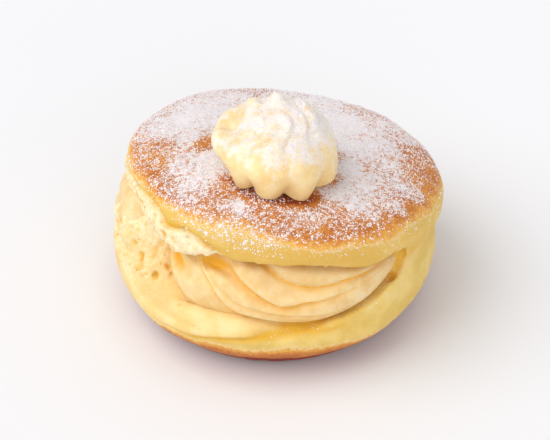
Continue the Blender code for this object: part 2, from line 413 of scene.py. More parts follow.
def bread_material(dust):
    made, tree, shader = new_material("fried_bread", 0.62, 0.3, scatter=0.2, scatter_radius=(2.4, 1.2, 0.5))
    blotches = grain_noise(tree, 9.0, 3.0)
    fine = grain_noise(tree, 1.1, 4.0, 0.65)
    side = mixed(tree, ranged(tree, blotches, 0.35, 0.65), colour(230, 194, 100), colour(242, 211, 126))
    # Painted shade: the lid's side darker and more golden, most towards the front
    side = mixed(tree, times(tree, attribute(tree, "lid_side_shade"), 0.8), side, colour(222, 176, 80))
    baked = calculate(tree, "ADD", attribute(tree, "crust"), ranged(tree, fine, 0.3, 0.7, -0.16, 0.16))
    baked = calculate(tree, "ADD", baked, ranged(tree, blotches, 0.3, 0.7, -0.12, 0.12))
    shades = add_node(tree, "ValToRGB", {"Fac": baked})
    ramp = shades.color_ramp
    ramp.elements[0].position = 0.1
    ramp.elements[0].color = (1.0, 1.0, 1.0, 0.0)
    ramp.elements[1].position = 1.0
    ramp.elements[1].color = colour(186, 104, 40)
    for position, shade in ((0.35, colour(236, 184, 86)), (0.6, colour(224, 152, 66)),
                            (0.8, colour(206, 128, 54))):
        ramp.elements.new(position).color = shade
    skin = mixed(tree, ranged(tree, baked, 0.12, 0.4), side, shades.outputs["Color"])
    crumb = mixed(tree, ranged(tree, fine, 0.35, 0.65), colour(245, 218, 160), colour(252, 235, 198))
    place = add_node(tree, "TexCoord").outputs["Object"]
    pores = add_node(tree, "TexVoronoi", {"Vector": place, "Scale": 1.0 / (CRUMB_PORE_LENGTH * MM)})
    hollow = ranged(tree, pores.outputs["Distance"], 0.24, 0.1)
    cut = attribute(tree, "crumb")
    # Painted shade in the crumb's pores: each hollow darker and more olive
    crumb = mixed(tree, times(tree, hollow, 0.5), crumb, colour(214, 184, 84))
    cream = mixed(tree, ranged(tree, blotches, 0.35, 0.65), colour(238, 204, 132), colour(246, 219, 158))
    # Torn crumb at the front left made whiter: partly the crumb's own pale colour, partly painted light where it faces
    # the lamp
    crumb = mixed(tree, attribute(tree, "torn"), crumb, colour(254, 241, 220))
    bread = mixed(tree, cut, mixed(tree, attribute(tree, "pale"), skin, cream), crumb)
    # Painted shade: deeper yellow in creases, hollows and under the lid's edge
    bread = mixed(tree, times(tree, attribute(tree, "shade"), 0.9), bread, colour(228, 172, 26))
    # Painted shadow on the lid under the rosette's overhang, and the bottom edge darker: its own fried colour and
    # painted shade
    bread = mixed(tree, attribute(tree, "underside"), bread, colour(138, 46, 18))
    cover, height = add_dust(tree, dust, attribute(tree, "sugar"), grain_size=0.56)
    feed(tree, mixed(tree, cover, bread, SUGAR_WHITE), shader.inputs["Base Color"])
    feed(tree, ranged(tree, cover, 0.0, 1.0, 0.58, 0.85), shader.inputs["Roughness"])
    hollows = times(tree, times(tree, hollow, cut), -1.5)
    relief = add_bump(tree, calculate(tree, "ADD", fine, hollows), shader, distance=0.3, strength=0.5)
    add_bump(tree, height, shader, distance=0.16, strength=0.7, under=relief)
    return made


def custard_material(name, dust, lean, full):
    made, tree, shader = new_material(name, 0.36, 0.4, scatter=0.35, scatter_radius=(2.4, 1.7, 0.5))
    streaks = grain_noise(tree, 5.0, 2.0)
    body = mixed(tree, ranged(tree, streaks, 0.3, 0.7), colour(*full), colour(*lean))
    # Painted shade: saturated orange yellow in folds, hollows and under the lid
    body = mixed(tree, attribute(tree, "deep"), body, colour(244, 180, 24))
    patches = ranged(tree, grain_noise(tree, 1.6, 3.0), 0.3, 0.7, -0.2, 0.2)
    smear = calculate(tree, "ADD", attribute(tree, "film"), patches)
    body = mixed(tree, ranged(tree, smear, 0.1, 0.95, 0.0, 0.86), body, colour(252, 241, 235))
    cover, height = add_dust(tree, dust, attribute(tree, "sugar"), grain_size=0.42)
    feed(tree, mixed(tree, cover, body, SUGAR_WHITE), shader.inputs["Base Color"])
    feed(tree, ranged(tree, cover, 0.0, 1.0, 0.36, 0.8), shader.inputs["Roughness"])
    relief = add_bump(tree, grain_noise(tree, 0.9, 2.0), shader, distance=0.08, strength=0.35)
    add_bump(tree, height, shader, distance=0.18, strength=0.7, under=relief)
    return made


def sugar_material():
    made, tree, shader = new_material("icing_sugar", 0.75, 0.3, scatter=0.2, scatter_radius=(0.6, 0.6, 0.6))
    patches = ranged(tree, grain_noise(tree, 2.0, 1.0), 0.35, 0.65)
    tint = mixed(tree, patches, colour(250, 243, 246), colour(255, 251, 252))
    feed(tree, tint, shader.inputs["Base Color"])
    return made


# Bun

# How high on the lid the brown crust ends, by the direction it faces, both measured on the lid
CRUST_EDGE = (
    (-180, 4.6), (-130, 4.4), (-75, 3.9), (-60, 4.5), (-44, 4.0), (-31, 5.6), (-14, 5.3), (2, 4.4), (16, 4.1),
    (34, 5.2), (50, 5.7), (70, 5.2), (94, 4.0), (130, 4.4), (180, 4.6),
)

# How much icing sugar lies at places on the lid: right of and behind its middle, and the share that is white
SUGAR_PLACES = (
    (-41.4, -2.5, 0.35), (-34.4, -4.8, 0.42), (-36.8, -15.6, 0.3), (-30.7, -23.6, 0.5), (-42.9, 7.2, 0.6),
    (-34.7, 4.0, 0.88), (-29.0, 8.9, 0.92), (-28.7, -1.8, 0.85), (-23.1, 13.1, 0.95), (-17.1, 24.9, 0.85),
    (-8.3, 35.1, 0.6), (-26.2, 31.7, 0.75), (1.8, 35.2, 0.8), (11.2, 31.7, 0.92), (21.2, 29.2, 0.6),
    (16.1, 16.1, 1.0), (26.3, 19.4, 0.75), (31.5, 13.1, 0.66), (24.8, 5.5, 0.85), (15.5, 1.1, 1.0),
    (16.2, -11.0, 0.97), (22.2, -10.4, 0.65), (27.9, -7.0, 0.78), (35.0, 8.4, 0.42), (37.8, 2.3, 0.35),
    (41.0, -1.8, 0.1), (34.5, -8.3, 0.28), (32.9, -15.4, 0.7), (28.9, -24.7, 0.62), (33.1, -23.2, 0.14),
    (38.7, -13.3, 0.12), (25.8, -30.7, 0.25), (29.5, -30.0, 0.15), (17.1, -18.3, 0.9), (11.2, -23.0, 0.95),
    (17.5, -28.0, 0.8), (22.7, -29.1, 0.65), (19.2, -34.7, 0.3), (12.1, -32.3, 0.5), (11.0, -39.6, 0.25),
    (4.0, -35.5, 0.58), (-0.6, -32.9, 0.62), (-2.5, -41.0, 0.5), (3.3, -42.0, 0.28), (-5.5, -36.7, 0.2),
    (-9.3, -38.9, 0.4), (-13.5, -33.4, 0.9), (-16.9, -35.4, 0.6), (-22.5, -34.0, 0.45), (-27.0, -31.6, 0.55),
    (-27.4, -25.1, 0.85), (-22.4, -18.8, 0.92), (-21.5, -12.2, 1.0), (-28.8, -17.6, 0.75),
    (-17.8, -23.6, 0.62), (-15.9, -28.2, 0.3), (-22.7, -5.3, 0.22), (-32.8, -27.0, 0.4), (-18.2, -38.1, 0.4),
    (-8.5, -30.5, 0.0), (-3.9, -31.7, 0.03), (3.6, -27.7, 0.12), (9.0, -18.4, 0.15), (0.6, -30.0, 0.1),
    (11.7, -3.7, 0.6), (0.0, 0.0, 0.9), (0.0, 20.0, 0.9), (30.0, 30.0, 0.6), (-38.0, 20.0, 0.7),
)

# Rolls and lumps of bread, each a closed tube through stations around the bun. For each station: degrees from the
# front, distance out, height, half its height, half its thickness. First, torn crumb that hangs below the lid's skin.
TORN_STRIP = (
    (-92, 37.0, 41.5, 1.4, 1.4), (-78, 38.0, 42.0, 2.0, 1.8), (-66, 38.4, 42.2, 2.6, 2.2),
    (-56, 38.6, 41.8, 3.6, 2.6), (-48, 38.7, 40.6, 4.6, 2.8), (-41, 38.7, 39.6, 5.4, 2.8),
    (-34, 38.9, 40.2, 4.2, 2.6), (-27, 39.2, 40.0, 2.8, 2.3), (-21, 39.4, 40.4, 2.0, 2.0),
    (-13, 39.4, 39.8, 1.2, 1.2),
)

# Smooth rolls on the base's rim: the pale lobe in front, and the rim to its right and left
RIM_LOBE = (
    (-54, 40.2, 15.6, 1.0, 1.6), (-40, 40.9, 16.9, 2.6, 3.3), (-28, 41.4, 18.2, 2.7, 3.6),
    (-16, 41.5, 19.1, 2.4, 3.5), (-7, 41.2, 19.8, 1.9, 3.2), (2, 40.8, 20.2, 1.5, 2.8),
    (10, 40.2, 20.2, 1.1, 2.2), (17, 39.0, 20.0, 0.8, 1.8),
)
RIGHT_RIM = (
    (4, 40.2, 15.6, 2.0, 3.0), (14, 40.6, 16.4, 2.6, 3.5), (25, 40.6, 17.3, 3.2, 3.9),
    (36, 40.6, 18.2, 3.8, 4.1), (46, 40.4, 19.4, 4.6, 4.1), (56, 40.2, 20.8, 5.0, 4.1),
    (64, 39.8, 21.6, 4.6, 3.8), (71, 39.4, 22.0, 3.0, 3.0),
)
LEFT_RIM = (
    (-136, 38.0, 18.0, 2.0, 3.0), (-118, 40.0, 18.4, 5.4, 3.9), (-100, 40.2, 19.2, 6.8, 4.1),
    (-84, 39.6, 19.2, 6.6, 4.0), (-70, 38.6, 17.4, 4.6, 3.6), (-60, 38.0, 15.0, 2.4, 3.0),
)

# Torn crumb at either end of the split
LEFT_BLEND = (
    (-126, 30.5, 25.0, 4.0, 4.0), (-112, 33.6, 25.2, 7.8, 8.2), (-100, 35.2, 25.4, 9.0, 9.2),
    (-82, 34.9, 25.8, 9.3, 9.4), (-68, 32.8, 25.6, 8.8, 9.0), (-58, 31.2, 23.5, 7.6, 8.4),
    (-50, 30.0, 20.0, 4.4, 6.4),
)
LEFT_CRUMB = (
    (-92, 31.0, 16.5, 3.0, 7.0), (-78, 33.0, 17.5, 5.4, 8.5), (-66, 33.5, 18.6, 7.4, 8.7),
    (-55, 33.0, 19.2, 8.4, 8.4), (-46, 31.0, 17.0, 4.0, 7.6),
)
RIGHT_CRUMB = (
    (44, 35.0, 22.0, 4.0, 5.0), (50, 36.5, 25.0, 8.0, 5.2), (57, 37.0, 26.0, 9.0, 5.0),
    (66, 35.5, 26.0, 6.0, 4.0),
)

# How far the lower edge of the lid is lifted: degrees from the front, lift
EDGE_LIFT = (
    (-30, 0.0), (-16, 0.5), (-6, 1.5), (2, 2.1), (12, 2.2), (20, 1.7), (27, 0.9), (33, 0.4), (39, 1.4),
    (45, 3.2), (54, 3.4), (60, 2.0), (66, 0.0),
)

# Where the lid's skin ends and torn crumb begins: degrees from the front, height above the lid's widest ring
SKIN_EDGE = (
    (-110, -1.0), (-80, 1.0), (-59, 2.2), (-50, 1.2), (-44, -1.5), (-36, 0.3), (-30, -1.2), (-24, -2.7),
    (-17, -4.6), (-8, -6.5),
)

# The largest pores of the torn crumb: degrees from the front, height, size, depth
LARGE_PORES = (
    (-63.8, 23.3, 1.0, 1.4), (-55.3, 20.6, 0.9, 1.4), (-39.4, 21.8, 0.7, 1.0), (-50.5, 24.8, 0.9, 1.2),
    (-53.0, 24.0, 0.7, 1.0), (-59.0, 25.4, 0.8, 1.0), (-47.5, 22.8, 0.7, 0.9), (-68.5, 26.4, 1.0, 0.9),
    (-61.5, 21.4, 0.6, 0.9),
)
SMALL_PORES = 170

# How far out the bread's outer face begins, where the largest pores are
OUTER_FACE_FROM = 36.0

# Where the crease under the pale lobe runs: degrees from the front, height
RIM_CREASE = (
    (-60, 12.6), (-40, 13.6), (-29, 14.6), (-24, 15.3), (-15, 16.5), (-7, 17.7), (-2, 18.1), (4, 18.2),
    (12, 18.3), (24, 19.0),
)

# The base's upper outer corner on the right, as distance out and height of the middle of its rounding
RIM_CORNER = np.array((40.6, 13.6))
RIM_ROUNDING = 4.6

# How far the underside's front edge is brought out, and up to which height
BOTTOM_FILL, BOTTOM_FILL_TOP = 8.4, 7.0

# How far round the rosette's foot there is no sugar, and how far its painted shadow reaches on the crust
SUGAR_CLEAR_OF_ROSETTE, SHADOW_AROUND_ROSETTE = 4.2, 2.0


def split_measure(points):
    """How far outside the split's ellipsoid each place is, in millimetres: about zero on the cut faces."""
    ahead = points @ towards(SPLIT_TOWARDS_DEG) - SPLIT_CENTRE_OUT
    side = points @ towards(SPLIT_TOWARDS_DEG + 90.0)
    height = points[:, 2] - SPLIT_CENTRE_HEIGHT
    size = np.sqrt((ahead / SPLIT_HALF_DEPTH) ** 2 + (side / SPLIT_HALF_WIDTH) ** 2
                   + (height / SPLIT_HALF_HEIGHT) ** 2)
    return (size - 1.0) * SPLIT_HALF_HEIGHT


def lid_sugar(points):
    """How much icing sugar has fallen on each place of the lid, from 0 to 1."""
    lid = on_lid_frame(points)
    total, weights = np.zeros(len(points)), np.zeros(len(points))
    for right, behind, share in SUGAR_PLACES:
        away = (lid[:, 0] - right) ** 2 + (lid[:, 1] - behind) ** 2
        weight = 1.0 / (away + 2.0) ** 2
        total += weight * share
        weights += weight
    amount = 1.0 - 1.14 * (1.0 - total / weights) + 0.09 * layered(points, 3.0, 31)
    facing = facing_of(lid)
    edge = along(CRUST_EDGE, facing)
    on_crust = np.clip(amount, 0.0, 1.0) * fade(edge - 2.0, edge + 2.0, lid[:, 2])
    on_crust *= 1.0 - under_rosette(points, SUGAR_CLEAR_OF_ROSETTE)
    sprinkled = 0.05 + 0.24 * window(-34.0, -4.0, 8.0, facing) * fade(-2.0, 3.0, lid[:, 2])
    base_side = 0.025 * window(-8.0, 52.0, 8.0, facing_of(points)) * fade(9.0, 15.0, points[:, 2])
    lid_side = sprinkled * fade(-4.0, 1.0, lid[:, 2])
    return np.maximum(on_crust, np.where(points[:, 2] > PARTING_HEIGHT - 1.0, lid_side, base_side))


def tube_shape(stations):
    """The shape of a closed tube that follows the stations around the bun."""
    def shape(angle, latitude):
        degrees, out, height, tall, thick = between(stations, (latitude + 1.0) / 2.0).T
        ends = round_ends(latitude, 0.5)
        return around_the_bun(degrees, out + thick * ends * np.cos(angle), height + tall * ends * np.sin(angle))
    return shape


def round_the_rim(places):
    """Rounds the upper outer corner of the base where it is skin, on the right of the split."""
    radius = radius_of(places)
    facing = facing_of(places)
    from_corner = np.stack([radius, places[:, 2]], axis=-1) - RIM_CORNER
    away = np.linalg.norm(from_corner, axis=-1)
    outside = (from_corner > 0.0).all(axis=-1) & (places[:, 2] < 22.0)
    share = outside * fade(-12.0, 4.0, facing) * fade(22.0, 10.0, facing)
    wanted = np.minimum(away, RIM_ROUNDING + 0.25 * (away - RIM_ROUNDING))
    rounded = RIM_CORNER + from_corner * (wanted / np.maximum(away, 0.01))[:, None]
    new_radius = radius + share * (rounded[:, 0] - radius)
    moved = places.copy()
    moved[:, :2] *= (new_radius / np.maximum(radius, 0.01))[:, None]
    moved[:, 2] += share * (rounded[:, 1] - places[:, 2])
    return moved


def fill_the_bottom(places):
    """Brings the underside's edge out towards the viewer, where it rests on the ground."""
    radius = radius_of(places)
    share = window(-52.0, 40.0, 14.0, facing_of(places)) * fade(18.0, 24.0, radius)
    lowness = np.clip(1.0 - places[:, 2] / BOTTOM_FILL_TOP, 0.0, 1.0)
    moved = places.copy()
    moved[:, :2] *= (1.0 + share * BOTTOM_FILL * lowness ** 2 / np.maximum(radius, 1.0))[:, None]
    return moved


def lift_the_edge(places):
    """Raises the lower edge of the lid above the custard, less and less towards the lid's widest ring."""
    lift = along(EDGE_LIFT, facing_of(places))
    share = fade(1.5, -3.5, on_lid_frame(places)[:, 2])
    share *= fade(PARTING_HEIGHT, PARTING_HEIGHT + 3.5, places[:, 2])
    moved = places.copy()
    moved[:, 2] += lift * share * fade(28.0, 34.0, radius_of(places))
    return moved


def under_rosette(places, reach):
    """One where the rosette's foot overhangs the lid towards the viewer, fading out at this reach."""
    from_foot = places - ROSETTE_FOOT
    away = radius_of(from_foot) - ROSETTE_RADIUS * ROSETTE_FOOT_SHARE
    around = window(-70.0, 48.0, 14.0, facing_of(from_foot))
    return fade(reach, -0.4, away) * around * fade(40.0, 44.0, places[:, 2])


def crumb_pores(thing, where, count, seed):
    """Presses small round hollows into the torn faces of the bread. Returns how deep they are at each point."""
    places = places_of(thing)
    candidates = np.flatnonzero(where > 0.6)
    dice = np.random.default_rng(seed)
    tree = KDTree(len(places))
    for number, place in enumerate(places):
        tree.insert(place, number)
    tree.balance()
    sink = np.zeros(len(places))
    for chosen in dice.choice(candidates, count, replace=False):
        radius = 0.6 + 0.7 * dice.random() ** 2.5
        for _, number, away in tree.find_range(Vector(places[chosen]), radius * 1.3):
            sink[number] = min(sink[number], -0.75 * radius * (1.0 - min(1.0, away / radius / 1.3) ** 2))
    sink *= np.clip(where, 0.0, 1.0)
    degrees = facing_of(places)
    outside = radius_of(places) > OUTER_FACE_FROM
    for middle, height, size, depth in LARGE_PORES:
        off = ((degrees - middle) * 0.73) ** 2 + (places[:, 2] - height) ** 2
        from_pore = places - places[np.argmin(np.where(outside, off, 1e6))]
        from_pore[:, 2] *= 0.7
        sink = np.minimum(sink, -depth * np.exp(-(from_pore ** 2).sum(axis=1) / size ** 2))
    push_out(thing, sink)
    return -sink


def make_bun(material):
    bun = merged_copy("bun", "bread_bun")
    join_into(bun, [shaped_sphere(name, 40, 90, tube_shape(stations)) for name, stations in (
        ("torn_strip", TORN_STRIP), ("rim_lobe", RIM_LOBE), ("right_rim", RIGHT_RIM), ("left_rim", LEFT_RIM),
        ("left_blend", LEFT_BLEND), ("left_crumb", LEFT_CRUMB), ("right_crumb", RIGHT_CRUMB))])
    as_one_skin(bun, BREAD_VOXEL, smoothing=5)
    places = fill_the_bottom(lift_the_edge(round_the_rim(places_of(bun))))
    set_places(bun, places)
    normals = normals_of(bun)
    lid = on_lid_frame(places)
    facing = facing_of(places)
    radius = radius_of(places)
    height = places[:, 2]
    high, low = height > PARTING_HEIGHT, height <= PARTING_HEIGHT
    lid_face = fade(30.0, 35.0, radius)
    above_skin_edge = lid[:, 2] - along(SKIN_EDGE, facing) + 0.6 * layered(places, 5.0, 5)
    above_crease = height - along(RIM_CREASE, facing)

    # Where the bread is torn or cut, and not skin, where the base's skin on the left is made paler, and painted shade
    # on the lid's side towards the front
    inner = 1.0 - fade(0.6, 1.6, split_measure(places) + 0.4 * noise(places, 3.0, 3))
    torn = fade(0.35, -0.35, above_skin_edge)
    torn *= window(-108.0, -12.0, 6.0, facing) * high * lid_face
    mound = window(-92.0, -47.0, 5.0, facing)
    mound *= fade(17.5, 21.5, height + 1.5 * layered(places, 6.0, 7)) * low
    corner = window(46.0, 66.0, 3.0, facing) * fade(18.0, 22.0, height) * fade(44.0, 42.0, radius)
    corner *= fade(-1.0, -3.0, lid[:, 2])
    crumb = np.clip(np.maximum.reduce([torn, mound, corner]), 0.0, 1.0)
    lobe = window(-60.0, 4.0, 6.0, facing) * fade(0.0, 1.4, above_crease) * low
    # The base's skin low on its left is made paler
    left_side = 0.6 * window(-120.0, -48.0, 14.0, facing) * fade(9.0, 17.0, height) * low
    roof = inner * high * fade(40.0, 38.0, radius)
    pale = np.clip(np.maximum.reduce([crumb, lobe, left_side, roof]), 0.0, 1.0)
    # Painted shade on the lid's side, darkest towards the front
    lid_side_shade = fade(26.0, 32.0, height) * (0.45 + 0.55 * fade(-45.0, 5.0, facing))
    lid_side_shade *= 1.0 - 0.5 * fade(24.0, 60.0, facing)

    # Brown crust on the lid and round the underside
    edge = along(CRUST_EDGE, facing_of(lid))
    crust = 0.5 + (lid[:, 2] - edge + 0.6 * layered(places, 6.0, 11)) / 4.4
    crust = np.clip(crust, 0.0, 0.86) * fade(24.0, 30.0, height)
    browned_to = 12.2 - 2.4 * fade(12.0, 60.0, np.abs(facing + 4.0)) + 0.7 * layered(places, 9.0, 17)
    crust = np.maximum(crust, 0.9 * fade(browned_to + 2.4, browned_to - 3.4, height))

    # Unevenness of each kind of surface
    amount = (1.0 - crumb) * (0.26 * noise(places, 10.0, 21) + 0.12 * layered(places, 3.0, 22))
    amount += crumb * (0.36 * layered(places, 4.4, 23) + 0.10 * noise(places, 1.6, 24))
    amount += torn * (0.6 * noise(places, 3.2, 25) + 0.45 * noise(places, 1.5, 26))
    amount += corner * (0.7 * noise(places, 2.6, 32) - 0.4)
    amount += mound * (0.7 * noise(places, 5.0, 28))
    uneven_crease = above_crease - 0.4 * noise(places, 7.0, 27)
    roll = window(-54.0, -6.0, 7.0, facing) * fade(37.0, 40.0, radius) * fade(22.0, 20.0, height) * low
    amount += roll * (0.5 * np.exp(-(((uneven_crease - 2.0) / 1.4) ** 2))
                      - 1.2 * np.exp(-((uneven_crease / 0.8) ** 2)))
    step = np.exp(-((above_skin_edge / 0.6) ** 2))
    amount -= 0.9 * step * window(-100.0, -22.0, 8.0, facing) * high * lid_face
    push_out(bun, amount * fade(0.0, 1.5, height))
    hollow = crumb_pores(bun, crumb * fade(27.0, 33.0, radius), SMALL_PORES, 5)

    # Painted shade: deeper yellow in creases, under the lid's edge, in the pores, in the hole at the right corner and
    # in a tan band on the left
    seam = np.exp(-((above_crease / 1.4) ** 2)) * window(-34.0, 24.0, 7.0, facing) * fade(37.0, 40.0, radius)
    skin_seam = 0.75 * window(-0.6, 1.8, 1.0, above_skin_edge) * window(-62.0, -20.0, 6.0, facing) * high
    skin_seam *= lid_face
    under_lid = 0.45 * inner * high * fade(34.0, 38.0, radius) * fade(-24.0, -4.0, facing)
    tan = 0.34 * window(-78.0, -50.0, 6.0, facing)
    tan *= window(20.5, 29.0, 2.0, height + 1.2 * noise(places, 6.0, 33))
    in_pores = np.clip(1.1 * hollow, 0.0, 0.85) * fade(-36.0, -42.0, facing)
    shade = np.maximum.reduce([tan, 0.85 * seam * low, skin_seam, corner, under_lid, in_pores])

    # The underside is flat on the ground
    places = places_of(bun)
    places[:, 2] = np.maximum(places[:, 2], 0.0)
    set_places(bun, places)
    # Darker crust round the bottom edge: partly the fried underside's own colour, partly painted shade where it turns
    # under to the floor. A painted shadow is also put on the lid under the rosette's overhang
    darkest = fade(6.8, 4.4, places[:, 2] + 0.3 * layered(places, 8.0, 30))
    for name, values in (
            ("crust", crust), ("crumb", crumb), ("pale", pale), ("lid_side_shade", lid_side_shade),
            ("shade", shade * (1.0 + 0.3 * noise(places, 2.4, 29))),
            ("underside", np.maximum(darkest, 0.9 * under_rosette(places, SHADOW_AROUND_ROSETTE))),
            # Whiter torn crumb: partly its own colour, partly painted light
            ("torn", 0.14 * torn * window(-64.0, -16.0, 8.0, facing)),
            ("sugar", lid_sugar(places) * (1.0 - crumb) * fade(-0.2, 0.4, normals[:, 2]))):
        keep(bun, name, values)
    finish_piece(bun, "bun", material)
    return bun


# Custard

# The two piped ropes, by stations from left to right: degrees from the front, distance out, height, radius. The left
# one's ridges wind, so it also has the degrees by which they are turned.
LEFT_ROPE = (
    (-153, 33.5, 27.0, 5.2, 165), (-137, 34.4, 27.2, 7.4, 148), (-118, 33.5, 27.5, 8.6, 130),
    (-100, 35.0, 27.5, 9.4, 105), (-82, 34.5, 28.0, 9.6, 80), (-68, 31.5, 29.0, 9.0, 60),
    (-56, 27.5, 29.5, 7.5, 45),
)
MAIN_ROPE = (
    (-78, 23, 28.0, 7.0), (-58, 27.0, 27.6, 8.6), (-38, 31.6, 27.0, 9.8), (-18, 32.4, 26.9, 10.0),
    (2, 33.6, 26.7, 9.8), (20, 36.6, 26.8, 8.6), (37, 38.2, 27.6, 7.2), (55, 39.0, 28.8, 4.2),
)

# The folds that run along the main rope, from the lowest up. For each, how deep the custard sinks just under its lip
# at the left and at the right, then the lip's path: degrees from the front and how far up the rope's face.
FOLDS = (
    (0.8, 0.8, ((-80, -60), (-60, -60), (-40, -62), (-20, -70), (0, -80), (55, -95))),
    (0.5, 0.4, ((-80, 110), (-66, 80), (-57, 40), (-52, 8), (-48, -16), (-42, -32), (-34, -44), (-22, -56), (0, -66),
                (55, -75))),
    (1.9, 0.7, ((-80, 150), (-48, 110), (-40, 84), (-36, 66), (-30, 40), (-26, 26), (-22, 6), (-17.5, -16), (-12, -29),
                (-6, -32), (0, -38), (8, -46), (20, -52), (55, -60))),
    (0.9, 0.4, ((-80, 170), (-44, 108), (-36, 84), (-30, 56), (-26.8, 43), (-22, 24), (-15, 3), (-11, -4),
                (-3.4, -13), (6, -19), (20, -24), (55, -36))),
    (3.6, 0.9, ((-80, 190), (-40, 115), (-32, 90), (-27, 75), (-21.5, 62), (-16.5, 49), (-12, 33), (-7, 19), (-2, 6),
                (2, -2), (6, 0), (10, 7), (17, 12), (22, 17), (29, 23), (34, 28), (41, 36), (46, 44), (55, 52))),
    (3.2, 2.2, ((-80, 260), (-40, 170), (-30, 146), (-20, 122), (-14, 103), (-8.4, 83), (-5, 73), (-2.4, 64), (1, 53),
                (4, 47), (7.6, 42), (13, 38), (19, 41), (24, 44), (31, 46), (38, 49), (44, 55), (55, 66))),
    (1.2, 0.6, ((-80, 270), (-40, 190), (-20, 150), (0, 120), (20, 100), (55, 100))),
    (1.0, 1.0, ((-80, 310), (-40, 250), (0, 200), (55, 190))),
)

# Hollows in the main rope just under the torn edge of the lid: degrees, up the face, width, depth
ROPE_PITS = ((-47.5, 22.0, 15.0, 4.0), (-25.5, 56.0, 12.0, 2.8))


def up_the_face(degrees):
    """Degrees around a rope counted from its underside, over 0 at its outermost, to its inner side."""
    return np.where(degrees < -110.0, degrees + 360.0, degrees)


def fold_depths(degrees, angle):
    """How far the custard is sunk below the rope's surface, most just under a fold's lip, and its shade."""
    lips = [along(path, degrees) for _, _, path in FOLDS]
    shade = np.zeros(len(degrees))
    depths = [left + (right - left) * fade(-12.0, 34.0, degrees) for left, right, _ in FOLDS]
    sunk = np.full(len(degrees), 1.0)
    for number in range(len(FOLDS) - 1):
        low, high = lips[number], lips[number + 1]
        span = np.maximum(high - low, 4.0)
        above = angle - low
        inside = (above >= 0.0) & (above < high - low)
        sinking = depths[number + 1] * np.clip(above / span, 0.0, 1.0) ** 2.4
        lip = depths[number] * np.exp(-np.clip(above, 0.0, 90.0) / 2.4)
        ripple = 0.10 * np.sin(np.clip(above / span, 0.0, 1.0) * 14.0 + degrees / 9.0)
        sunk = np.where(inside, sinking + lip + ripple, sunk)
        near_lip = np.exp(-np.clip(high - angle, 0.0, 90.0) / 5.0) * np.clip(depths[number + 1] / 2.0, 0.0, 1.0)
        shade = np.where(inside, near_lip, shade)
    for middle, up, width, depth in ROPE_PITS:
        away = ((degrees - middle) / width * 1.6) ** 2 + ((angle - up) / width) ** 2
        sunk += depth * np.exp(-away)
        shade = np.maximum(shade, 1.3 * np.exp(-1.1 * away))
    return sunk, shade


def rope_face(places):
    """For places on the main rope: degrees from the front, how far up its face, and how deep they lie."""
    degrees = facing_of(places)
    stations = np.array(MAIN_ROPE)
    out, height, radius = (np.interp(degrees, stations[:, 0], stations[:, column]) for column in (1, 2, 3))
    from_middle = np.stack([radius_of(places) - out, places[:, 2] - height], axis=-1)
    up_face = up_the_face(np.degrees(np.arctan2(from_middle[:, 1], from_middle[:, 0])))
    return degrees, up_face, radius - np.linalg.norm(from_middle, axis=-1)


def main_rope_shape(angle, latitude):
    degrees, out, height, radius = between(MAIN_ROPE, (latitude + 1.0) / 2.0).T
    up_face = up_the_face(np.degrees(angle))
    sunk = fold_depths(degrees, up_face)[0] * radius / 10.0
    skirt = 1.0 + 0.16 * window(-88.0, -46.0, 8.0, up_face) * fade(10.0, -25.0, degrees)
    roll = 2.2 * window(44.0, 84.0, 16.0, up_face) * window(-12.0, 30.0, 9.0, degrees)
    reach = (radius * skirt + 0.7 + roll - sunk) * round_ends(latitude, 0.4)
    return around_the_bun(degrees, out + reach * np.cos(angle), height + reach * np.sin(angle))


def left_rope_shape(angle, latitude):
    degrees, out, height, radius, turn = between(LEFT_ROPE, (latitude + 1.0) / 2.0).T
    wave = np.abs(np.cos(4.0 * (angle + np.radians(turn))))
    fold = 2.4 * np.exp(-((degrees + 70.0 - 0.05 * np.degrees(angle)) / 2.6) ** 2)
    reach = radius * round_ends(latitude, 0.4) * (1.0 - 0.1 * (1.0 - wave)) - fold
    return around_the_bun(degrees, out + reach * np.cos(angle), height + reach * np.sin(angle))


def make_filling(material):
    filling = merged_copy("custard_filling", "custard_filling_piped")
    apply_modifier(filling, "REMESH", mode="VOXEL", voxel_size=FILLING_CORE_VOXEL * MM, adaptivity=0.0)
    places = places_of(filling)
    behind_ropes = window(-114.0, 52.0, 6.0, facing_of(places))
    push_out(filling, -1.4 * fade(20.0, 30.0, radius_of(places)) * behind_ropes - 0.2)
    main_rope = shaped_sphere("main_rope", 320, 300, main_rope_shape)
    join_into(filling, [main_rope, shaped_sphere("left_rope", 160, 120, left_rope_shape)])
    as_one_skin(filling, CUSTARD_VOXEL, smoothing=1)
    drop_scraps(filling)
    places = places_of(filling)
    push_out(filling, 0.10 * noise(places, 6.0, 41) + 0.04 * noise(places, 2.0, 42))
    degrees, up_face, sunk = rope_face(places)
    # Painted shade under the folds' lips, in the pits and hollows and under the lid, with a slight even tint over the
    # middle and right
    in_folds = fold_depths(degrees, up_face)[1] * window(-62.0, 42.0, 6.0, degrees) * fade(9.0, 5.0, sunk)
    under_lid = fade(88.0, 108.0, up_face) * window(-20.0, 46.0, 6.0, degrees)
    hollow = 0.28 * fade(0.8, 2.8, sunk) * window(-52.0, 4.0, 8.0, degrees)
    deep = np.maximum.reduce([np.clip(1.1 * in_folds, 0.0, 1.0), 0.2 * under_lid, hollow])
    keep(filling, "deep", deep + 0.1 * window(-20.0, 60.0, 8.0, degrees))
    keep(filling, "sugar", 0.05 * fade(15.0, 32.0, degrees) * fade(60.0, 20.0, up_face))
    keep(filling, "film", np.zeros(len(places)))
    finish_piece(filling, "custard_filling", material)


# Rosette

ROSETTE_HEIGHT = 21.4
ROSETTE_BULGE_AT = 0.54
ROSETTE_LOBES = 9
ROSETTE_GROOVE = 0.13
ROSETTE_START_DEG = 17.0
ROSETTE_TWIST_DEG = 16.0
ROSETTE_LEAN = np.array((-2.6, 3.0, 0.0))

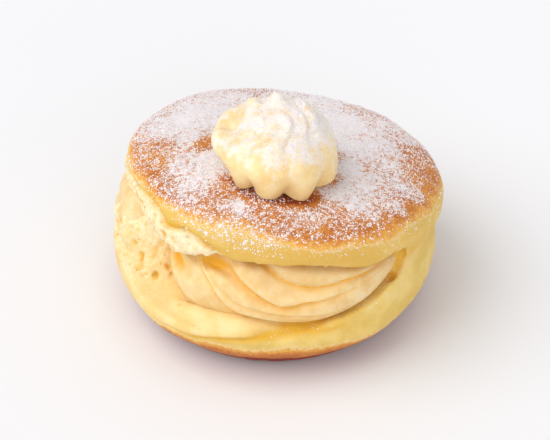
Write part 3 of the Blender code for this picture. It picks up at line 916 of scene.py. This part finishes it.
# How far the notches of the foot stand clear of the lid between the lobes' tips
ROSETTE_HANG = 1.5

# How far above the lid's skin the foot stays, and up to which share of its height the rosette follows the lid
ROSETTE_GAP = 0.3
ROSETTE_FOLLOWS_LID_TO = 0.7

# Torn tips on the crown, and dents where the height is below zero: right of and behind the foot, width, height
TORN_TIPS = (
    (-8.0, 6.0, 1.4, 5.0), (-6.4, 6.6, 1.7, 3.0), (-1.2, 6.4, 2.1, 4.6), (0.9, 5.4, 1.8, 2.4),
    (6.6, 5.2, 3.2, 2.6), (-4.6, -0.5, 2.2, 1.5), (2.6, -2.0, 2.4, 1.4), (9.4, 1.4, 2.8, 1.6),
    (-4.0, 6.4, 1.2, -2.6), (-12.5, 3.5, 2.6, -3.4), (-11.0, 7.5, 2.2, -2.4),
)


def rosette_shape(angle, latitude):
    rise = (np.sin(latitude * math.pi / 2) + 1.0) / 2.0
    below = np.clip(rise / ROSETTE_BULGE_AT, 0.0, 1.0)
    above = np.clip((rise - ROSETTE_BULGE_AT) / (1.0 - ROSETTE_BULGE_AT), 0.0, 1.0)
    swell = ROSETTE_FOOT_SHARE + (1.0 - ROSETTE_FOOT_SHARE) * (
        0.55 * below + 0.45 * np.sin(math.pi / 2 * below))
    profile = np.where(rise < ROSETTE_BULGE_AT, swell, np.maximum(np.cos(math.pi / 2 * above), 0.0) ** 0.40)
    around = np.stack([np.cos(angle), np.sin(angle), np.zeros_like(angle)], axis=-1)
    uneven = 3.0 * noise(around * 3.0, 1.3, 51)
    turn = np.radians(ROSETTE_START_DEG + ROSETTE_TWIST_DEG * rise + uneven + 50.0 * fade(0.82, 1.0, rise))
    wave = np.abs(np.cos(ROSETTE_LOBES * (angle - turn) / 2)) ** 0.9
    groove = ROSETTE_GROOVE * (0.3 + 1.15 * fade(0.5, 0.02, rise) + 1.3 * fade(0.74, 0.95, rise))
    out = ROSETTE_RADIUS * profile * (1.0 - groove * (1.0 - wave))
    out = np.where(np.abs(latitude) < 0.999, out, 0.0)
    lean = ROSETTE_LEAN * fade(0.1, 1.0, rise)[:, None]
    right_side = window(-34.0, 60.0, 14.0, np.degrees(angle))
    places = ROSETTE_FOOT + around * (out * (1.0 + 0.10 * right_side * (1.0 - rise) ** 2))[:, None] + lean
    places[:, 2] += ROSETTE_HEIGHT * rise
    places[:, 2] += (1.0 - rise) ** 3 * (ROSETTE_HANG * (1.0 - wave) + 3.4 * right_side) \
        * (np.abs(latitude) < 0.999)
    return places


def heights_under(bun, places):
    """How high the skin of the bun lies under each place."""
    bpy.context.view_layer.update()
    heights = np.full(len(places), ROSETTE_FOOT[2])
    above_all = 200.0 * MM
    for number, place in enumerate((places + BASE_AXIS) * MM):
        met, spot, _, _ = bun.ray_cast(Vector((place[0], place[1], above_all)), Vector((0.0, 0.0, -1.0)))
        if met:
            heights[number] = spot.z / MM
    return heights


def make_rosette(material, bun):
    rosette = shaped_sphere("custard_rosette_piped", 252, 150, rosette_shape)
    places = places_of(rosette)
    rise = np.clip((places[:, 2] - ROSETTE_FOOT[2]) / ROSETTE_HEIGHT, 0.0, 1.0)
    on_lid = np.flatnonzero((rise < ROSETTE_FOLLOWS_LID_TO) & (radius_of(places - ROSETTE_FOOT) > 3.0))
    lowest = heights_under(bun, places[on_lid]) + ROSETTE_GAP - ROSETTE_FOOT[2]
    places[on_lid, 2] += (1.0 - rise[on_lid] / ROSETTE_FOLLOWS_LID_TO) * lowest
    top = fade(61.0, 67.0, places[:, 2])
    places[:, 2] += 0.11 * (places[:, 0] - 1.0) * top - 0.5 * top
    for right, behind, width, height in TORN_TIPS:
        middle = ROSETTE_FOOT[:2] + np.array((right, behind))
        away = np.linalg.norm(places[:, :2] - middle, axis=1)
        places[:, 2] += height * np.exp(-away / width) * top
    set_places(rosette, places)
    as_one_skin(rosette, ROSETTE_VOXEL, smoothing=2)
    places = places_of(rosette)
    top = fade(61.0, 68.0, places[:, 2])
    push_out(rosette, 0.15 * noise(places, 5.0, 61) + top * (0.55 * layered(places, 3.2, 62) - 0.1))
    upward = normals_of(rosette)[:, 2]
    places = places_of(rosette)
    height = places[:, 2]
    lit = fade(-0.1, 0.7, upward)
    right_part = fade(-4.0, 8.0, places[:, 0] - 1.0)
    streaks = noise(places * np.array((1.0, 1.0, 0.3)), 2.2, 64)
    film = 0.06 + 0.54 * fade(56.0, 67.0, height) + 0.3 * right_part * fade(55.0, 63.0, height)
    film += 0.46 * streaks + 0.22 * noise(places, 4.5, 65)
    amount = lit * (0.03 + 0.16 * fade(60.0, 68.0, height)) + 0.10 * layered(places, 4.0, 63)
    amount += 0.22 * right_part * fade(58.0, 65.0, height) * lit
    keep(rosette, "sugar", np.clip(amount, 0.0, 0.8))
    keep(rosette, "film", film * fade(50.0, 55.0, height) * fade(-0.35, 0.2, upward))
    # Painted shade low on the rosette, where it meets the lid
    keep(rosette, "deep", 0.35 * fade(52.0, 49.0, height))
    finish_piece(rosette, "custard_rosette", material)
    return rosette


# Icing sugar grains

def scattered(host, amount, count, seed):
    """Picks places on the host's faces, more where the amount is larger. Returns places and normals."""
    mesh = host.data
    mesh.calc_loop_triangles()
    corners = np.empty(len(mesh.loop_triangles) * 3, dtype=np.int32)
    mesh.loop_triangles.foreach_get("vertices", corners)
    corners = corners.reshape(-1, 3)
    places = places_of(host)
    a, b, c = (places[corners[:, number]] for number in range(3))
    across = np.cross(b - a, c - a)
    area = np.linalg.norm(across, axis=1)
    chance = area * np.clip(amount[corners].mean(axis=1), 0.0, 1.0)
    dice = np.random.default_rng(seed)
    chosen = dice.choice(len(corners), count, p=chance / chance.sum())
    first, second = dice.random((2, count, 1))
    fold = first + second > 1.0
    first, second = np.where(fold, 1.0 - first, first), np.where(fold, 1.0 - second, second)
    spots = a[chosen] + first * (b - a)[chosen] + second * (c - a)[chosen]
    return spots, across[chosen] / area[chosen][:, None], dice


def grain_mesh(name, spots, normals, sizes, dice, sink):
    """One mesh of many small crystals, each an uneven octahedron half sunk where it lies."""
    corners = np.array(((1, 0, 0), (-1, 0, 0), (0, 1, 0), (0, -1, 0), (0, 0, 1), (0, 0, -1)), dtype=float)
    faces = np.array(((0, 2, 4), (2, 1, 4), (1, 3, 4), (3, 0, 4), (2, 0, 5), (1, 2, 5), (3, 1, 5), (0, 3, 5)))
    count = len(spots)
    turns = np.linalg.qr(dice.normal(size=(count, 3, 3)))[0]
    turns[np.linalg.det(turns) < 0] *= -1.0
    stretch = 0.7 + 0.6 * dice.random((count, 6, 1))
    points = np.einsum("nij,nkj->nki", turns, corners[None] * stretch) * sizes[:, None, None]
    points += (spots + normals * (sizes * (1.0 - sink))[:, None])[:, None, :]
    indices = (faces[None] + 6 * np.arange(count)[:, None, None]).reshape(-1)
    mesh = bpy.data.meshes.new(name)
    mesh.vertices.add(count * 6)
    mesh.loops.add(count * 24)
    mesh.polygons.add(count * 8)
    mesh.vertices.foreach_set("co", ((points.reshape(-1, 3) + BASE_AXIS) * MM).astype(np.float32).ravel())
    mesh.loops.foreach_set("vertex_index", indices.astype(np.int32))
    mesh.polygons.foreach_set("loop_start", np.arange(0, count * 24, 3, dtype=np.int32))
    mesh.update(calc_edges=True)
    made = bpy.data.objects.new(name, mesh)
    bpy.context.scene.collection.objects.link(made)
    return made


def read_attribute(thing, name):
    values = np.empty(len(thing.data.vertices), dtype=np.float32)
    thing.data.attributes[name].data.foreach_get("value", values)
    return values.astype(float)


LID_GRAINS = 17000
ROSETTE_GRAINS = 2600


def make_sugar(bun, rosette, material):
    spots, normals, dice = scattered(bun, read_attribute(bun, "sugar") ** 1.1, LID_GRAINS, 71)
    sizes = 0.11 + 0.16 * dice.random(len(spots)) ** 1.6
    lid_grains = grain_mesh("icing_sugar_on_lid", spots, normals, sizes, dice, sink=0.4)
    upward = normals_of(rosette)[:, 2] > -0.1
    spots, normals, dice = scattered(rosette, read_attribute(rosette, "sugar") * upward, ROSETTE_GRAINS, 72)
    sizes = 0.08 + 0.1 * dice.random(len(spots)) ** 2
    rosette_grains = grain_mesh("icing_sugar_on_rosette", spots, normals, sizes, dice, sink=0.5)
    for piece, slot in ((lid_grains, "fried_crust"), (rosette_grains, "custard")):
        piece.data.materials.append(material)
        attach(piece, "root")


# Camera, light and floor

CAMERA_ELEVATION_DEG = 38.0
CAMERA_DISTANCE = 600.0
PIXELS_PER_MM = 3.588
PICTURE_WIDTH = 550.0
SENSOR_WIDTH = 36.0
AIM = np.array((0.0, -1.33, 23.29))

WORLD_STRENGTH = 0.625

# Soft lamps: name, strength, degrees across, and where the light comes from
LAMPS = (("key", 1.55, 54.0, (-0.6, -0.18, 0.78)), ("fill", 0.62, 50.0, (0.14, -0.86, 0.5)))


def place_camera():
    angle = math.radians(CAMERA_ELEVATION_DEG)
    back = np.array((0.0, -math.cos(angle), math.sin(angle)))
    data = bpy.data.cameras.new("camera")
    data.sensor_width = SENSOR_WIDTH
    data.lens = PIXELS_PER_MM * CAMERA_DISTANCE / PICTURE_WIDTH * SENSOR_WIDTH
    camera = bpy.data.objects.new("camera", data)
    camera.location = (AIM + back * CAMERA_DISTANCE + BASE_AXIS) * MM
    camera.rotation_euler = (math.pi / 2 - angle, 0.0, 0.0)
    bpy.context.scene.collection.objects.link(camera)
    bpy.context.scene.camera = camera


def light_the_scene():
    scene = bpy.context.scene
    world = bpy.data.worlds.new("studio")
    world.use_nodes = True
    background = world.node_tree.nodes["Background"]
    background.inputs["Color"].default_value = (1.0, 1.0, 1.0, 1.0)
    background.inputs["Strength"].default_value = WORLD_STRENGTH
    scene.world = world
    for name, energy, degrees, source in LAMPS:
        data = bpy.data.lights.new(name, "SUN")
        data.energy = energy
        data.angle = math.radians(degrees)
        lamp = bpy.data.objects.new(name, data)
        lamp.rotation_euler = Vector(source).to_track_quat("Z", "Y").to_euler()
        scene.collection.objects.link(lamp)
    scene.view_settings.view_transform = "Standard"


def make_floor():
    bpy.ops.object.select_all(action="DESELECT")
    bpy.ops.mesh.primitive_plane_add(size=4.0, location=(0.0, 0.0, 0.0))
    floor = bpy.context.object
    floor.name = "floor"
    made, _, shader = new_material("pale_floor", 0.7, 0.2)
    shader.inputs["Base Color"].default_value = (0.86, 0.856, 0.876, 1.0)
    floor.data.materials.append(made)


def main():
    dust = sugar_dust_group()
    bun = make_bun(bread_material(dust))
    make_filling(custard_material("custard_filling", dust, (244, 219, 168), (233, 197, 134)))
    rosette = make_rosette(custard_material("custard_rosette", dust, (249, 224, 168), (240, 206, 142)), bun)
    make_sugar(bun, rosette, sugar_material())
    place_camera()
    light_the_scene()
    make_floor()


main()
